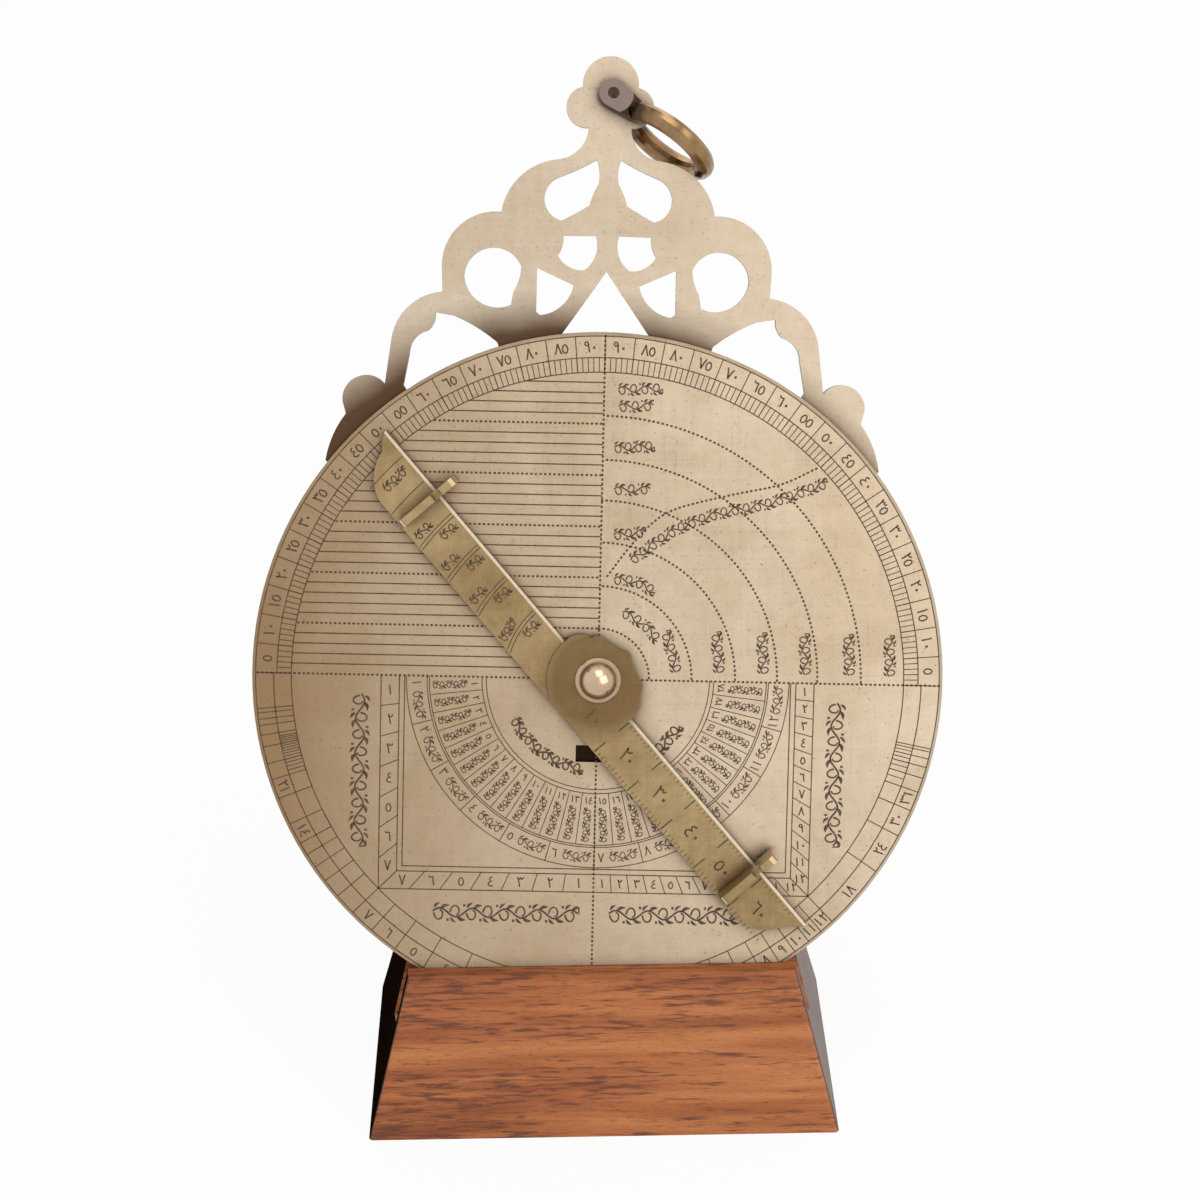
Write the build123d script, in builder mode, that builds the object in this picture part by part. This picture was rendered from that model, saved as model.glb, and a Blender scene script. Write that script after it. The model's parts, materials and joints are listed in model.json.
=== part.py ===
from build123d import *
import os
from math import asin, atan, cos, degrees, hypot, radians, sin, tan

# A planispheric astrolabe standing in a slotted wooden block, its back, the dorsum, towards -Y.
# The frame's origin is the centre of the block's bottom face, with +Z up. Millimetres and degrees.

# Wooden block
block_width = 90.0
block_depth = 54.0
block_height = 31.6
block_inset = 8.2
block_edge_radius = 1.0
kerf_lip = 3.0
kerf_depth = 10.3
kerf_clearance = 0.25
kerf_floor_gap = 0.05

# How the instrument stands in the kerf
lean = 20.0
roll = 2.05

# Body of the instrument, in layers from the dorsum towards the rete
disc_radius = 65.0
disc_edge_chamfer = 0.6
dorsum_thickness = 2.0
throne_thickness = 2.6
limb_width = 9.5
window_width = 7.8
window_height = 3.2
window_drop = 14.2
window_depth = 1.2

# Flush screws that hold the limb, the throne ring and the dorsum together
screw_count = 4
screw_radius = 1.0
screw_head_radius = 1.9
screw_reach = 1.3
screw_slot_width = 0.5
screw_slot_depth = 0.6
screw_clearance = 0.03

# Latitude plates that lie in the womb, with a tab that keeps them from turning
plate_count = 4
plate_thickness = 0.8
plate_gap = 0.03
plate_rim_clearance = 0.15
tab_width = 4.0
tab_reach = 2.2
tab_clearance = 0.1

# Rete, a pierced star map that turns in the womb
rete_thickness = 1.2
rete_gap = 0.1
rete_recess = 0.1
rete_rim_clearance = 0.2
rete_rim_width = 2.6
rete_bar_width = 2.4
rete_hub_radius = 6.5
ecliptic_width = 3.0
obliquity = 23.44
pointer_half_width = 1.1
pointer_bow = 0.9
pointer_least = 4.0
knob_radius = 1.7
knob_height = 3.2
knob_stem_radius = 0.8

# Pivot pin, with its domed head, and the wedge that locks it
pin_radius = 2.5
running_clearance = 0.04
dome_radius = 3.45
dome_height = 2.7
dome_side = 0.4
pin_tail = 2.0
pin_end_chamfer = 0.5
washer_radius = 5.2
washer_thickness = 0.8
head_washer_radius = 4.3
head_washer_thickness = 0.6
head_washer_chamfer = 0.2
face_gap = 0.03
horse_thickness = 1.9
horse_height = 3.2
horse_taper = 0.05
horse_tail = 11.0
horse_chest = 10.5
horse_play = 0.06
horse_head_length = 5.0
horse_head_rise = 3.4

# Alidade, a counterchanged rule with two sighting vanes
alidade_angle = 131.4
alidade_gap = 0.05
alidade_margin = 3.7
alidade_width = 9.4
alidade_thickness = 1.75
fiducial_bevel = 0.5
vane_setback = 15.1
vane_thickness = 1.5
vane_height = 7.0
vane_inset = 0.7
vane_overhang = 4.3
vane_corner = 1.2
sight_notch_width = 2.0
sight_notch_depth = 2.6
tenon_length = 5.0
tenon_clearance = 0.03

# Suspension ring and the rivet through its cheeks
finial_hole_along = 43.3
ring_angle = -35.7
ring_lean = 14.0
ring_wire_radius = 1.85
ring_wire_sides = 12
ring_mean_radius = 8.3
ring_centre_distance = 13.3
cheek_radius = 2.7
cheek_thickness = 1.5
cheek_gap = 0.8
ring_pin_radius = 1.1
ring_pin_clearance = 0.09

# Derived sizes in the plane of the disc
womb_radius = disc_radius - limb_width
alidade_half_length = disc_radius - alidade_margin
vane_station = alidade_half_length - vane_setback
disc_height = block_height + (disc_radius - kerf_depth) * cos(radians(lean))

# Derived levels along the normal of the dorsum, whose face is level 0
dorsum_back = -dorsum_thickness
throne_back = dorsum_back - throne_thickness
womb_depth = plate_count * (plate_thickness + plate_gap) + rete_gap + rete_thickness + rete_recess
limb_back = dorsum_back - womb_depth
limb_thickness = throne_back - limb_back
rete_level = dorsum_back - plate_count * (plate_thickness + plate_gap) - rete_gap
rete_back = rete_level - rete_thickness
washer_level = rete_back - face_gap
horse_level = washer_level - washer_thickness - face_gap
horse_slot_end = horse_level - horse_height - horse_taper * pin_radius - horse_play
pin_end = horse_slot_end - pin_tail
alidade_top = alidade_gap + alidade_thickness
dome_level = alidade_top + face_gap + head_washer_thickness

# Planes: the dorsum's centre, upright in the kerf, then turned by the slight roll of the disc
disc_centre_y = -block_depth / 2 + block_inset + kerf_lip + (disc_height - block_height) * tan(radians(lean))
kerf_plane = Plane(
    origin=(0, disc_centre_y, disc_height),
    x_dir=(1, 0, 0),
    z_dir=(0, -cos(radians(lean)), sin(radians(lean))),
)
disc_plane = Plane(kerf_plane.location * Rot(0, 0, -roll))
alidade_plane = Plane(disc_plane.location * Rot(0, 0, alidade_angle))


def rim_point(along, above):
    """A point by its distance along the rim from the top and its height above the rim."""
    turn = along / disc_radius
    radius = disc_radius + above
    return (radius * sin(turn), radius * cos(turn))


def rim_arc(start, middle, end):
    """An arc through three points that are given along and above the rim."""
    return ThreePointArc(rim_point(*start), rim_point(*middle), rim_point(*end))


def rim_line(start, end):
    """A straight edge between two points that are given along and above the rim."""
    return Line(rim_point(*start), rim_point(*end))


# Throne outline, right half, as distances along the rim from the top and heights above the rim
finial_top_centre = (0.0, 45.6)
finial_top_radius = 5.2
finial_ear_centre = (2.65, 41.5)
finial_ear_radius = 3.8
neck = (2.5, 37.7)
neck_hollow = (3.5, 34.1)
shoulder_start = (6.3, 32.2)
shoulder_crown = (11.0, 30.2)
shoulder_cusp = (14.6, 24.1)
lobe_crown = (20.8, 23.4)
lobe_side = (24.8, 17.5)
lobe_cusp = (26.1, 13.1)
leg_crown = (31.9, 13.2)
leg_side = (37.0, 9.1)
leg_notch = (42.0, 3.1)
foot_crown = (43.9, 6.8)
foot_side = (49.6, 5.6)
foot_waist = (50.6, 3.6)
tail_bend = (55.0, 2.5)
tail_tip = (59.4, 0.5)
inside_rim = -1.5

# Throne openings, right half, in the same way
lens_top = (1.5, 31.8)
lens_upper = (3.9, 30.1)
lens_turn = (6.3, 28.9)
lens_side = (8.6, 24.8)
lens_foot = (6.5, 20.9)
lens_lower = (4.6, 22.0)
lens_cusp = (2.6, 23.4)
lens_waist = (2.1, 25.3)
lens_inner = (1.3, 27.4)
lens_throat = (1.2, 29.8)
gate_top = (1.7, 17.8)
gate_inner = (1.7, 14.4)
gate_foot = (3.6, 11.5)
gate_lower = (6.0, 12.3)
gate_side = (7.5, 14.5)
gate_outer = (6.7, 16.1)
gate_corner = (6.4, 18.1)
sail_top = (10.9, 12.7)
sail_tip = (5.4, 8.8)
sail_belly = (7.8, 5.1)
sail_foot = (11.6, 4.0)
sail_heel = (12.2, 4.7)
eye_corner = (16.2, 6.9)
eye_foot = (19.2, 7.3)
eye_side = (22.2, 14.3)
eye_top = (16.6, 17.9)
eye_turn = (13.3, 13.4)
eye_waist = (14.1, 11.0)
eye_hollow = (15.3, 9.2)
tent_top = 11.2
tent_half_width = 8.1
arch_start = (20.2, 0.8)
arch_rise = (23.1, 4.9)
arch_crown = (25.8, 8.1)
arch_corner = (28.4, 10.0)
arch_hollow = (29.2, 8.5)
arch_step = (30.8, 7.5)
arch_knee = (33.4, 7.3)
arch_leg = (35.3, 5.5)
arch_end = (39.3, 1.0)

with BuildSketch() as throne_openings:
    with BuildLine():
        rim_arc(lens_top, lens_upper, lens_turn)
        rim_arc(lens_turn, lens_side, lens_foot)
        rim_arc(lens_foot, lens_lower, lens_cusp)
        rim_arc(lens_cusp, lens_waist, lens_inner)
        rim_arc(lens_inner, lens_throat, lens_top)
    make_face()
    with BuildLine():
        rim_arc(gate_top, gate_inner, gate_foot)
        rim_arc(gate_foot, gate_lower, gate_side)
        rim_arc(gate_side, gate_outer, gate_corner)
        rim_line(gate_corner, gate_top)
    make_face()
    with BuildLine():
        rim_line(sail_top, sail_tip)
        rim_arc(sail_tip, sail_belly, sail_foot)
        rim_line(sail_foot, sail_heel)
        rim_line(sail_heel, sail_top)
    make_face()
    with BuildLine():
        rim_arc(eye_corner, eye_foot, eye_side)
        rim_arc(eye_side, eye_top, eye_turn)
        rim_arc(eye_turn, eye_waist, eye_hollow)
        rim_line(eye_hollow, eye_corner)
    make_face()
    with BuildLine():
        rim_arc(arch_start, arch_rise, arch_crown)
        rim_line(arch_crown, arch_corner)
        rim_arc(arch_corner, arch_hollow, arch_step)
        rim_arc(arch_step, arch_knee, arch_leg)
        rim_line(arch_leg, arch_end)
        rim_line(arch_end, (arch_end[0], inside_rim))
        rim_line((arch_end[0], inside_rim), (arch_start[0], inside_rim))
        rim_line((arch_start[0], inside_rim), arch_start)
    make_face()
    with BuildLine():
        rim_line((0, tent_top), (tent_half_width, 0))
        rim_line((tent_half_width, 0), (tent_half_width, inside_rim))
        rim_line((tent_half_width, inside_rim), (0, inside_rim))
        rim_line((0, inside_rim), (0, tent_top))
    make_face()
    mirror(about=Plane.YZ)

with BuildSketch() as throne_profile:
    with BuildLine():
        rim_line((0, finial_ear_centre[1]), (neck[0], finial_ear_centre[1]))
        rim_line((neck[0], finial_ear_centre[1]), neck)
        rim_arc(neck, neck_hollow, shoulder_start)
        rim_arc(shoulder_start, shoulder_crown, shoulder_cusp)
        rim_arc(shoulder_cusp, lobe_crown, lobe_side)
        rim_line(lobe_side, lobe_cusp)
        rim_arc(lobe_cusp, leg_crown, leg_side)
        rim_line(leg_side, leg_notch)
        rim_arc(leg_notch, foot_crown, foot_side)
        rim_line(foot_side, foot_waist)
        rim_arc(foot_waist, tail_bend, tail_tip)
        rim_line(tail_tip, (tail_tip[0], inside_rim))
        rim_arc((tail_tip[0], inside_rim), (tail_tip[0] / 2, inside_rim), (0, inside_rim))
        rim_line((0, inside_rim), (0, finial_ear_centre[1]))
    make_face()
    with Locations(rim_point(*finial_ear_centre)):
        Circle(finial_ear_radius)
    mirror(about=Plane.YZ)
    with Locations(rim_point(*finial_top_centre)):
        Circle(finial_top_radius)
    add(throne_openings.sketch, mode=Mode.SUBTRACT)
    Circle(disc_radius)
    Circle(womb_radius, mode=Mode.SUBTRACT)

# The womb's wall has a notch at the top for the tabs of the plates
notch_width = tab_width + 2 * tab_clearance
notch_reach = tab_reach + tab_clearance
screw_circle = (womb_radius + disc_radius) / 2
screw_start = 180 / screw_count

# Block: one sloping billet with a kerf that leans back and runs right across
with BuildPart() as wooden_block:
    with BuildSketch():
        Rectangle(block_width, block_depth)
    extrude(amount=block_height, taper=degrees(atan(block_inset / block_height)))
    slopes = wooden_block.edges().filter_by(lambda edge: abs(edge.tangent_at(0.5).Z) > 0.5)
    fillet(slopes, block_edge_radius)
    with BuildSketch(kerf_plane.offset(kerf_clearance)):
        with Locations((0, -disc_radius - kerf_floor_gap)):
            Rectangle(2 * block_width, disc_height, align=(Align.CENTER, Align.MIN))
    extrude(amount=-(dorsum_thickness + womb_depth + 2 * kerf_clearance), mode=Mode.SUBTRACT)
wooden_block.part.label = "wooden_block"

# Dorsum: the engraved back plate, with a bevelled rim, the pin's bore and a small sunk window
with BuildPart() as dorsum_plate:
    with BuildSketch(disc_plane):
        Circle(disc_radius)
        Circle(pin_radius + running_clearance, mode=Mode.SUBTRACT)
    extrude(amount=-dorsum_thickness)
    rim_edges = dorsum_plate.edges().filter_by(GeomType.CIRCLE)
    rim_edge = rim_edges.sort_by(SortBy.RADIUS)[-2:].sort_by(Axis.Y)[0]
    chamfer(rim_edge, disc_edge_chamfer)
    with BuildSketch(disc_plane):
        with Locations((0, -window_drop)):
            Rectangle(window_width, window_height)
    extrude(amount=-window_depth, mode=Mode.SUBTRACT)
    with BuildSketch(disc_plane.offset(dorsum_back)):
        with PolarLocations(screw_circle, screw_count, start_angle=screw_start):
            Circle(screw_radius + screw_clearance)
    extrude(amount=screw_reach + screw_clearance, mode=Mode.SUBTRACT)
dorsum_plate.part.label = "dorsum_plate"

# Throne ring: the middle layer, which carries the pierced throne and the hole of its finial
finial_hole_radius = (ring_pin_radius + ring_pin_clearance) / cos(radians(ring_lean))
finial_hole_radius += throne_thickness / 2 * tan(radians(ring_lean))
with BuildPart() as throne_ring:
    with BuildSketch(disc_plane.offset(dorsum_back)):
        add(throne_profile.sketch)
        with Locations(rim_point(0, finial_hole_along)):
            Circle(finial_hole_radius, mode=Mode.SUBTRACT)
        with Locations((0, womb_radius)):
            Rectangle(notch_width, 2 * notch_reach, mode=Mode.SUBTRACT)
        with PolarLocations(screw_circle, screw_count, start_angle=screw_start):
            Circle(screw_radius + screw_clearance, mode=Mode.SUBTRACT)
    extrude(amount=-throne_thickness)
throne_ring.part.label = "throne_ring"

# Limb ring: the graduated front rim around the womb, countersunk for the screws
with BuildPart() as limb_ring:
    with BuildSketch(disc_plane.offset(throne_back)):
        Circle(disc_radius)
        Circle(womb_radius, mode=Mode.SUBTRACT)
        with Locations((0, womb_radius)):
            Rectangle(notch_width, 2 * notch_reach, mode=Mode.SUBTRACT)
    extrude(amount=-limb_thickness)
    limb_edges = limb_ring.edges().filter_by(GeomType.CIRCLE)
    limb_edge = limb_edges.sort_by(SortBy.RADIUS)[-2:].sort_by(Axis.Y)[-1]
    chamfer(limb_edge, disc_edge_chamfer)
    limb_face = Plane(
        origin=disc_plane.offset(limb_back).origin, x_dir=disc_plane.x_dir, z_dir=-disc_plane.z_dir
    )
    with Locations(limb_face):
        with PolarLocations(screw_circle, screw_count, start_angle=screw_start):
            CounterSinkHole(
                radius=screw_radius + screw_clearance,
                counter_sink_radius=screw_head_radius + screw_clearance,
                depth=limb_thickness,
            )
limb_ring.part.label = "limb_ring"

# Limb screws: slotted countersunk screws, flush with the limb and blind in the dorsum
screw_length = throne_thickness + limb_thickness + screw_reach
head_drop = screw_head_radius - screw_radius
with BuildPart() as limb_screws:
    with Locations(limb_face):
        with PolarLocations(screw_circle, screw_count, start_angle=screw_start):
            Cylinder(screw_radius, screw_length, align=(Align.CENTER, Align.CENTER, Align.MAX))
            Cone(screw_radius, screw_head_radius, head_drop, align=(Align.CENTER, Align.CENTER, Align.MAX))
            Box(
                2 * screw_head_radius + 2 * screw_clearance,
                screw_slot_width,
                screw_slot_depth,
                align=(Align.CENTER, Align.CENTER, Align.MAX),
                mode=Mode.SUBTRACT,
            )
limb_screws.part.label = "limb_screws"

# Latitude plates: thin discs that fill the womb, each with a tab at the top
plate_radius = womb_radius - plate_rim_clearance
latitude_plates = []
for index in range(plate_count):
    with BuildPart() as latitude_plate:
        with BuildSketch(disc_plane.offset(dorsum_back - plate_gap - index * (plate_thickness + plate_gap))):
            Circle(plate_radius)
            with Locations((0, plate_radius)):
                Rectangle(tab_width, 2 * tab_reach)
            Circle(pin_radius + running_clearance, mode=Mode.SUBTRACT)
        extrude(amount=-plate_thickness)
    latitude_plate.part.label = f"latitude_plate_{index + 1}"
    latitude_plates.append(latitude_plate.part)

# Rete: circles and star places by stereographic projection from the south pole.
# A declination d lies at equator * tan((90 - d) / 2), and the tropic of Capricorn bounds the map.
rete_radius = womb_radius - rete_rim_clearance
capricorn_radius = rete_radius - rete_rim_width
equator_radius = capricorn_radius * tan(radians((90 - obliquity) / 2))
cancer_radius = equator_radius * tan(radians((90 - obliquity) / 2))
ecliptic_radius = (capricorn_radius + cancer_radius) / 2
ecliptic_centre = (capricorn_radius - cancer_radius) / 2


def star_place(ascension, declination):
    """Place of a star on the map, with the ecliptic's Capricorn point at the top."""
    radius = equator_radius * tan(radians((90 - declination) / 2))
    turn = radians(90 - (ascension - 270))
    return (radius * cos(turn), radius * sin(turn))


def star_pointer(tip):
    """A claw from the nearest strut of the map to a star's place."""
    reach = hypot(*tip)
    off_ecliptic = hypot(tip[0], tip[1] - ecliptic_centre)
    middle = ecliptic_radius - ecliptic_width / 2
    feet = [
        (tip[0] * (capricorn_radius + 1) / reach, tip[1] * (capricorn_radius + 1) / reach),
        (tip[0] * middle / off_ecliptic, ecliptic_centre + (tip[1] - ecliptic_centre) * middle / off_ecliptic),
        (tip[0], 0),
        (0, tip[1]),
    ]
    lengths = [(hypot(tip[0] - foot[0], tip[1] - foot[1]), foot) for foot in feet]
    length, foot = min(entry for entry in lengths if entry[0] >= pointer_least)
    along = ((tip[0] - foot[0]) / length, (tip[1] - foot[1]) / length)
    side = (-along[1], along[0])
    left = (foot[0] + side[0] * pointer_half_width, foot[1] + side[1] * pointer_half_width)
    right = (foot[0] - side[0] * pointer_half_width, foot[1] - side[1] * pointer_half_width)
    centre = ((tip[0] + foot[0]) / 2, (tip[1] + foot[1]) / 2)
    outer_bow = pointer_half_width + pointer_bow
    inner_bow = pointer_bow - pointer_half_width / 2
    outer = (centre[0] + side[0] * outer_bow, centre[1] + side[1] * outer_bow)
    inner = (centre[0] + side[0] * inner_bow, centre[1] + side[1] * inner_bow)
    with BuildSketch() as pointer:
        with BuildLine():
            ThreePointArc(left, outer, tip)
            ThreePointArc(tip, inner, right)
            Line(right, left)
        make_face()
    return pointer.sketch


# Bright stars as right ascension and declination, north to south of the ecliptic
stars = {
    "capella": (79, 46),
    "algol": (47, 41),
    "vega": (279, 39),
    "deneb": (310, 45),
    "alkaid": (207, 49),
    "alphecca": (234, 27),
    "arcturus": (214, 19),
    "rasalhague": (264, 13),
    "altair": (298, 9),
    "markab": (346, 15),
    "aldebaran": (69, 16),
    "regulus": (152, 12),
    "menkar": (46, 4),
    "betelgeuse": (89, 7),
    "procyon": (115, 5),
    "rigel": (79, -8),
    "sirius": (101, -17),
    "alphard": (142, -9),
    "algorab": (187, -16),
    "spica": (201, -11),
    "diphda": (11, -18),
}
knob_place = (ecliptic_radius - ecliptic_width / 2) * sin(radians(45))
knob_location = (knob_place, ecliptic_centre - knob_place)

with BuildPart() as rete:
    with BuildSketch(disc_plane.offset(rete_level)):
        Circle(rete_radius)
        Circle(capricorn_radius, mode=Mode.SUBTRACT)
        with Locations((0, ecliptic_centre)):
            Circle(ecliptic_radius)
            Circle(ecliptic_radius - ecliptic_width, mode=Mode.SUBTRACT)
        Circle(rete_hub_radius)
        Rectangle(2 * capricorn_radius + rete_rim_width, rete_bar_width)
        Rectangle(rete_bar_width, 2 * capricorn_radius + rete_rim_width)
        for place in stars.values():
            add(star_pointer(star_place(*place)))
        Circle(pin_radius + running_clearance, mode=Mode.SUBTRACT)
        with Locations(knob_location):
            Circle(knob_stem_radius + face_gap, mode=Mode.SUBTRACT)
    extrude(amount=-rete_thickness)
rete.part.label = "rete"

# Rete knob: a small turned button with a stem through the ecliptic ring
knob_origin = disc_plane.offset(rete_back).from_local_coords(knob_location + (0,))
knob_plane = Plane(origin=knob_origin, x_dir=disc_plane.x_dir, z_dir=disc_plane.y_dir)
with BuildPart() as rete_knob:
    with BuildSketch(knob_plane):
        with BuildLine():
            Polyline(
                (0, -rete_thickness),
                (knob_stem_radius, -rete_thickness),
                (knob_stem_radius, 0),
                (knob_radius, 0),
                (knob_stem_radius, knob_height / 3),
                (knob_radius, knob_height * 2 / 3),
            )
            TangentArc((0, knob_height), (knob_radius, knob_height * 2 / 3), tangent=(1, 0))
            Line((0, knob_height), (0, -rete_thickness))
        make_face()
    revolve(axis=Axis(knob_plane.origin, knob_plane.y_dir))
rete_knob.part.label = "rete_knob"

# Alidade: one rule whose fiducial edge runs through the centre, with a scalloped hub beside it
tip_spike = (alidade_half_length - 1.0, 1.6)
tip_waist = (alidade_half_length - 2.6, 2.9)
tip_belly = (alidade_half_length - 4.7, 6.8)
tip_end = (alidade_half_length - 9.8, alidade_width)
hub_reach = 9.6
hub_lobe = (9.0, -2.7)
hub_notch = (6.85, -4.2)
hub_bead = (6.55, -5.3)
hub_bead_end = (5.0, -5.95)
hub_ogee = (2.4, -6.6)
hub_point = (0, -7.8)
slot_half = vane_thickness / 2 + tenon_clearance
slot_length = tenon_length + 2 * tenon_clearance
tenon_middle = alidade_width / 2
with BuildPart() as alidade:
    with BuildSketch(alidade_plane.offset(alidade_gap)):
        with BuildLine():
            Line((0, 0), (alidade_half_length, 0))
            ThreePointArc((alidade_half_length, 0), tip_spike, tip_waist)
            ThreePointArc(tip_waist, tip_belly, tip_end)
            Line(tip_end, (0, alidade_width))
            Line((0, alidade_width), (0, 0))
        make_face()
        mirror(about=Plane.YZ)
        with Locations((vane_station, tenon_middle), (-vane_station, tenon_middle)):
            Rectangle(2 * slot_half, slot_length, mode=Mode.SUBTRACT)
    extrude(amount=alidade_thickness)
    fiducial_edges = alidade.edges().filter_by(Axis(alidade_plane.origin, alidade_plane.x_dir))
    fiducial_edge = fiducial_edges.sort_by(Axis(alidade_plane.origin, alidade_plane.y_dir))[0:2]
    chamfer(fiducial_edge.sort_by(Axis(alidade_plane.origin, alidade_plane.z_dir))[-1], fiducial_bevel)
    with BuildSketch(alidade_plane.offset(alidade_gap)):
        with BuildLine():
            ThreePointArc((hub_reach, 0), hub_lobe, hub_notch)
            ThreePointArc(hub_notch, hub_bead, hub_bead_end)
            ThreePointArc(hub_bead_end, hub_ogee, hub_point)
            Polyline(hub_point, (0, alidade_width / 2), (hub_reach, alidade_width / 2), (hub_reach, 0))
        make_face()
        mirror(about=Plane.YZ)
    extrude(amount=alidade_thickness)
    with BuildSketch(alidade_plane):
        Circle(pin_radius + running_clearance)
    extrude(amount=alidade_top + 1, mode=Mode.SUBTRACT)
alidade.part.label = "alidade"


def sighting_vane(station):
    """A vane that stands across the rule, tenoned into it, with a notch on the fiducial line."""
    vane_plane = Plane(
        origin=alidade_plane.from_local_coords((station - vane_thickness / 2, 0, alidade_top)),
        x_dir=alidade_plane.y_dir,
        z_dir=alidade_plane.x_dir,
    )
    foot = alidade_width - vane_inset
    with BuildPart() as vane:
        with BuildSketch(vane_plane):
            with BuildLine():
                FilletPolyline(
                    (foot, 0),
                    (foot, vane_height),
                    (sight_notch_width / 2, vane_height),
                    radius=vane_corner,
                )
                Polyline(
                    (sight_notch_width / 2, vane_height),
                    (sight_notch_width / 2, vane_height - sight_notch_depth),
                    (-sight_notch_width / 2, vane_height - sight_notch_depth),
                    (-sight_notch_width / 2, vane_height),
                )
                FilletPolyline(
                    (-sight_notch_width / 2, vane_height),
                    (-vane_overhang, vane_height),
                    (-vane_overhang, 0),
                    radius=vane_corner,
                )
                Line((-vane_overhang, 0), (foot, 0))
            make_face()
            with Locations((tenon_middle, 0)):
                Rectangle(tenon_length, alidade_thickness, align=(Align.CENTER, Align.MAX))
        extrude(amount=vane_thickness)
    return vane.part


upper_vane = sighting_vane(vane_station)
upper_vane.label = "upper_vane"
lower_vane = sighting_vane(-vane_station)
lower_vane.label = "lower_vane"

# Head washer: the thin collar that shows around the pin's dome
with BuildPart() as head_washer:
    with BuildSketch(disc_plane.offset(alidade_top + face_gap)):
        Circle(head_washer_radius)
        Circle(pin_radius + running_clearance, mode=Mode.SUBTRACT)
    extrude(amount=head_washer_thickness - face_gap)
    washer_edges = head_washer.edges().filter_by(GeomType.CIRCLE).sort_by(SortBy.RADIUS)[-2:]
    chamfer(washer_edges.sort_by(Axis.Y)[0], head_washer_chamfer)
head_washer.part.label = "head_washer"

# Pivot pin: a turned pin with a domed head, cross-slotted near its end for the wedge
pin_profile_plane = Plane(origin=disc_plane.origin, x_dir=disc_plane.x_dir, z_dir=-disc_plane.y_dir)
with BuildPart() as pivot_pin:
    with BuildSketch(pin_profile_plane):
        with BuildLine():
            Polyline(
                (0, pin_end),
                (pin_radius - pin_end_chamfer, pin_end),
                (pin_radius, pin_end + pin_end_chamfer),
                (pin_radius, dome_level),
                (dome_radius, dome_level),
                (dome_radius, dome_level + dome_side),
            )
            TangentArc(
                (0, dome_level + dome_height),
                (dome_radius, dome_level + dome_side),
                tangent=(1, 0),
            )
            Line((0, dome_level + dome_height), (0, pin_end))
        make_face()
    revolve(axis=Axis(disc_plane.origin, disc_plane.z_dir))
    with BuildSketch(disc_plane.offset(horse_slot_end)):
        Rectangle(4 * pin_radius, horse_thickness + 2 * horse_play)
    extrude(amount=horse_level + face_gap + washer_thickness / 4 - horse_slot_end, mode=Mode.SUBTRACT)
pivot_pin.part.label = "pivot_pin"

# Horse washer: the ring between the rete and the wedge
with BuildPart() as horse_washer:
    with BuildSketch(disc_plane.offset(washer_level)):
        Circle(washer_radius)
        Circle(pin_radius + running_clearance, mode=Mode.SUBTRACT)
    extrude(amount=-washer_thickness)
horse_washer.part.label = "horse_washer"

# Horse: the wedge through the pin, its thick end shaped as a simple horse's head
horse_plane = Plane(origin=disc_plane.origin, x_dir=disc_plane.x_dir, z_dir=disc_plane.y_dir)
base = -horse_level
tail_crest = base + horse_height - horse_taper * horse_tail
neck_crest = base + horse_height + horse_taper * (horse_chest - horse_head_length)
nape = (horse_chest - horse_head_length, neck_crest)
crown = (horse_chest + horse_head_length * 0.3, neck_crest + horse_head_rise)
mane = (horse_chest - horse_head_length * 0.45, neck_crest + horse_head_rise * 0.55)
muzzle_top = (horse_chest + horse_head_length, base + horse_height * 1.3)
muzzle_foot = (horse_chest + horse_head_length * 0.95, base + horse_height * 0.9)
throat = (horse_chest + horse_head_length * 0.36, base + horse_height)
breast = (horse_chest + horse_head_length * 0.32, base + horse_height * 0.5)
with BuildPart() as horse:
    with BuildSketch(horse_plane):
        with BuildLine():
            Line((-horse_tail, base), (horse_chest, base))
            ThreePointArc((horse_chest, base), breast, throat)
            Polyline(throat, muzzle_foot, muzzle_top, crown)
            ThreePointArc(crown, mane, nape)
            Polyline(nape, (-horse_tail, tail_crest), (-horse_tail, base))
        make_face()
    extrude(amount=horse_thickness / 2, both=True)
horse.part.label = "horse"

# Suspension ring: round wire whose flat cheeks straddle the finial, leaning by its play on the rivet
finial_centre = rim_point(0, finial_hole_along)
hang_origin = disc_plane.offset(dorsum_back - throne_thickness / 2).from_local_coords(finial_centre + (0,))
hang_plane = Plane(origin=hang_origin, x_dir=disc_plane.x_dir, z_dir=disc_plane.z_dir)
ring_plane = Plane(hang_plane.location * Rot(0, 0, ring_angle) * Rot(-ring_lean, 0, 0))
bow_plane = Plane(origin=ring_plane.origin, x_dir=ring_plane.x_dir, z_dir=-ring_plane.y_dir)
cheek_level = throne_thickness / 2 + cheek_gap
cheek_middle = cheek_level + cheek_thickness / 2
end_turn = degrees(asin(cheek_middle / ring_mean_radius))
wire_end = ring_centre_distance - ring_mean_radius * cos(radians(end_turn))
with BuildPart() as suspension_ring:
    with BuildLine(bow_plane):
        bow = CenterArc((ring_centre_distance, 0), ring_mean_radius, end_turn - 180, 360 - 2 * end_turn)
    with BuildSketch(Plane(origin=bow @ 0, z_dir=bow % 0)):
        RegularPolygon(ring_wire_radius, ring_wire_sides)
    sweep()
    for level in (cheek_level, -cheek_level - cheek_thickness):
        with BuildSketch(ring_plane.offset(level)):
            Circle(cheek_radius)
            with Locations((wire_end, 0)):
                Circle(ring_wire_radius)
            make_hull()
            Circle(ring_pin_radius, mode=Mode.SUBTRACT)
        extrude(amount=cheek_thickness)
suspension_ring.part.label = "suspension_ring"

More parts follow.
